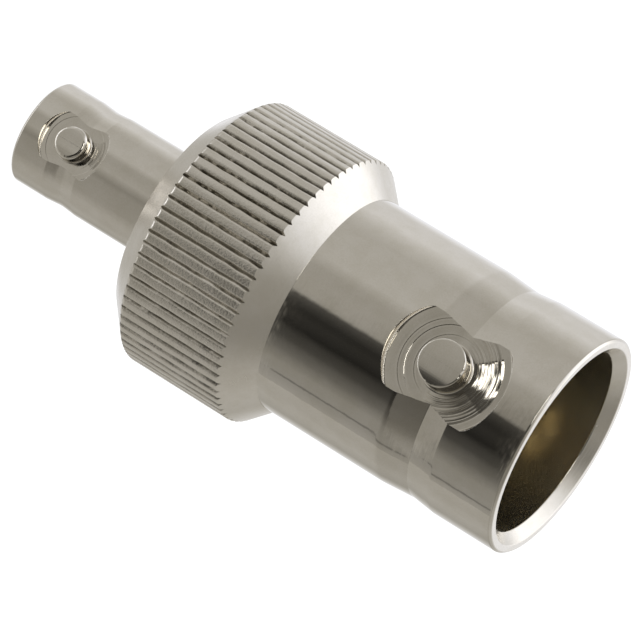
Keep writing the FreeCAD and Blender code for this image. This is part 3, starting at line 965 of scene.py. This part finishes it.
def light_walls():
    """A studio of soft light walls: graded greys for reflections, plain white for everything else."""
    world = bpy.data.worlds.new("studio")
    bpy.context.scene.world = world
    world.use_nodes = True
    tree = world.node_tree
    tree.nodes.clear()
    way = node(tree, "TexCoord").outputs["Generated"]
    axes = node(tree, "SeparateXYZ", {0: way}).outputs
    turn = maths(tree, "DIVIDE", maths(tree, "ARCTAN2", axes["Y"], axes["X"]), math.tau)
    share = maths(tree, "FLOORED_MODULO", turn, 1.0)
    low, high = (ramp(tree, share, [(angle / 360, light / BRIGHTEST) for angle, light in wall])
                 for wall in (LOW_WALL, HIGH_WALL))
    up = axes["Z"]
    from_shelf = maths(tree, "ABSOLUTE", maths(tree, "SUBTRACT", share, SHELF_MIDDLE / 360))
    shelf = limits(tree, from_shelf, *SHELF_ENDS, *SHELF_LIGHT)
    fall = maths(tree, "MULTIPLY", by_height(tree, up, LOW_EDGE_HEIGHTS, LOW_EDGE_LIGHT, 1.0),
                 by_height(tree, up, SHELF_HEIGHTS, 1.0, shelf))
    low = blend(tree, 1.0, low, grey(tree, fall), "MULTIPLY")
    light = blend(tree, by_height(tree, up, HIGH_WALL_HEIGHTS), low, high)
    light = blend(tree, by_height(tree, up, UNDERSIDE_HEIGHTS), light, (UNDERSIDE,) * 3 + (1,))
    table = maths(tree, "MULTIPLY", by_height(tree, up, TABLE_HEIGHTS),
                  limits(tree, axes["Y"], *TABLE_ENDS, 1.0, 0.0))
    light = blend(tree, table, light, (TABLE / BRIGHTEST,) * 3 + (1,))
    room = near(tree, way, (ROOM_COMPASS, ROOM_HEIGHT), ROOM_SPAN)
    light = blend(tree, room, light, (DARK_ROOM,) * 3 + (1,))
    light = blend(tree, 1.0, light, ramp(tree, light, WALL_TINTS), "MULTIPLY")
    walls = node(tree, "Background", {"Color": light, "Strength": BRIGHTEST})
    lamp = 0.0
    for place in LAMP_PLACES:
        lamp = maths(tree, "MAXIMUM", lamp, near(tree, way, place, LAMP_SPAN))
    power = maths(tree, "MULTIPLY", lamp, LAMP_POWER)
    glow = node(tree, "Background", {"Color": LAMP_TINT, "Strength": power})
    mirrored = node(tree, "AddShader", {0: walls.outputs[0], 1: glow.outputs[0]})
    soft = node(tree, "Background", {"Color": (1, 1, 1, 1), "Strength": SOFT_LIGHT})
    rays = node(tree, "LightPath").outputs["Is Glossy Ray"]
    pick = node(tree, "MixShader", {0: rays, 1: soft.outputs[0], 2: mirrored.outputs[0]})
    node(tree, "OutputWorld", {0: pick.outputs[0]})


def graded_card():
    """A graded dark card beside the large barrel, which only reflections see."""
    material = bpy.data.materials.new("graded_card")
    material.use_nodes = True
    tree = material.node_tree
    tree.nodes.clear()
    axes = place_in_mm(tree)[1]
    turn = maths(tree, "ARCTAN2", axes["Y"], axes["X"])
    share = maths(tree, "MULTIPLY_ADD", turn, 180 / math.pi / CARD_SWEEP, -CARD_START / CARD_SWEEP)
    grades = ramp(tree, share, CARD_GRADES)
    height = axes["Z"]
    held = maths(tree, "MULTIPLY", limits(tree, height, *CARD_FOOT),
                 limits(tree, height, *CARD_MIDDLE, 1.0, CARD_UPPER_SHARE))
    held = maths(tree, "MULTIPLY", held, limits(tree, height, *CARD_TOP, 1.0, 0.0))
    from_line = maths(tree, "SUBTRACT", share, limits(tree, height, *LINE_HEIGHTS, *LINE_PLACES))
    line = limits(tree, maths(tree, "ABSOLUTE", from_line), *LINE_WIDTH, LINE_LIGHT, 1.0)
    line = maths(tree, "MAXIMUM", line, limits(tree, height, *LINE_TOP))
    line = maths(tree, "MAXIMUM", line, limits(tree, height, *LINE_FOOT, 1.0, 0.0))
    grades = blend(tree, 1.0, grades, grey(tree, line), "MULTIPLY")
    glass = node(tree, "BsdfTransparent", {0: blend(tree, held, (1, 1, 1, 1), grades)})
    node(tree, "OutputMaterial", {0: glass.outputs[0]})
    bm = bmesh.new()
    along = way_to(CARD_START, 0)
    edge = [bm.verts.new((CARD_R * along[0], CARD_R * along[1], z)) for z in (CARD_FOOT[0], CARD_TOP[1])]
    bm.edges.new(edge)
    bmesh.ops.spin(bm, geom=bm.verts[:] + bm.edges[:], cent=(0, 0, 0), axis=(0, 0, 1),
                   angle=math.radians(CARD_SWEEP), steps=CARD_STEPS)
    card = to_object(bm, "graded_card", [material])
    card.visible_camera = False
    card.visible_diffuse = False
    card.visible_shadow = False
    card.visible_transmission = False


def pale_floor():
    """A plain pale floor, which reflections do not see."""
    material = bpy.data.materials.new("pale_floor")
    material.use_nodes = True
    shader = material.node_tree.nodes["Principled BSDF"]
    shader.inputs["Base Color"].default_value = (FLOOR_GREY,) * 3 + (1,)
    shader.inputs["Roughness"].default_value = 1
    shader.inputs["Specular IOR Level"].default_value = 0
    shader.inputs["Emission Color"].default_value = (1, 1, 1, 1)
    shader.inputs["Emission Strength"].default_value = FLOOR_GLOW
    bm = bmesh.new()
    bmesh.ops.create_grid(bm, x_segments=1, y_segments=1, size=STUDIO_FLOOR / MM)
    floor = to_object(bm, "floor", [material])
    floor.visible_glossy = False


light_walls()
graded_card()
pale_floor()

# Camera
CAMERA_PLACE = Vector((12.262, -179.872, 79.918)) * MM
CAMERA_AIM = Vector((0.687, 0.044, 14.447)) * MM
CAMERA_ROLL = math.radians(121.4785)
SENSOR_WIDTH, FOCAL_LENGTH = 36, 270.9
lens = bpy.data.cameras.new("camera")
lens.sensor_width = SENSOR_WIDTH
lens.lens = FOCAL_LENGTH
lens.clip_start = 0.01
camera = bpy.data.objects.new("camera", lens)
bpy.context.scene.collection.objects.link(camera)
camera.location = CAMERA_PLACE
camera.rotation_mode = "QUATERNION"
camera.rotation_quaternion = (
    (CAMERA_AIM - CAMERA_PLACE).to_track_quat("-Z", "Y") @ Quaternion((0, 0, 1), CAMERA_ROLL))
bpy.context.scene.camera = camera
bpy.context.scene.view_settings.view_transform = "Standard"
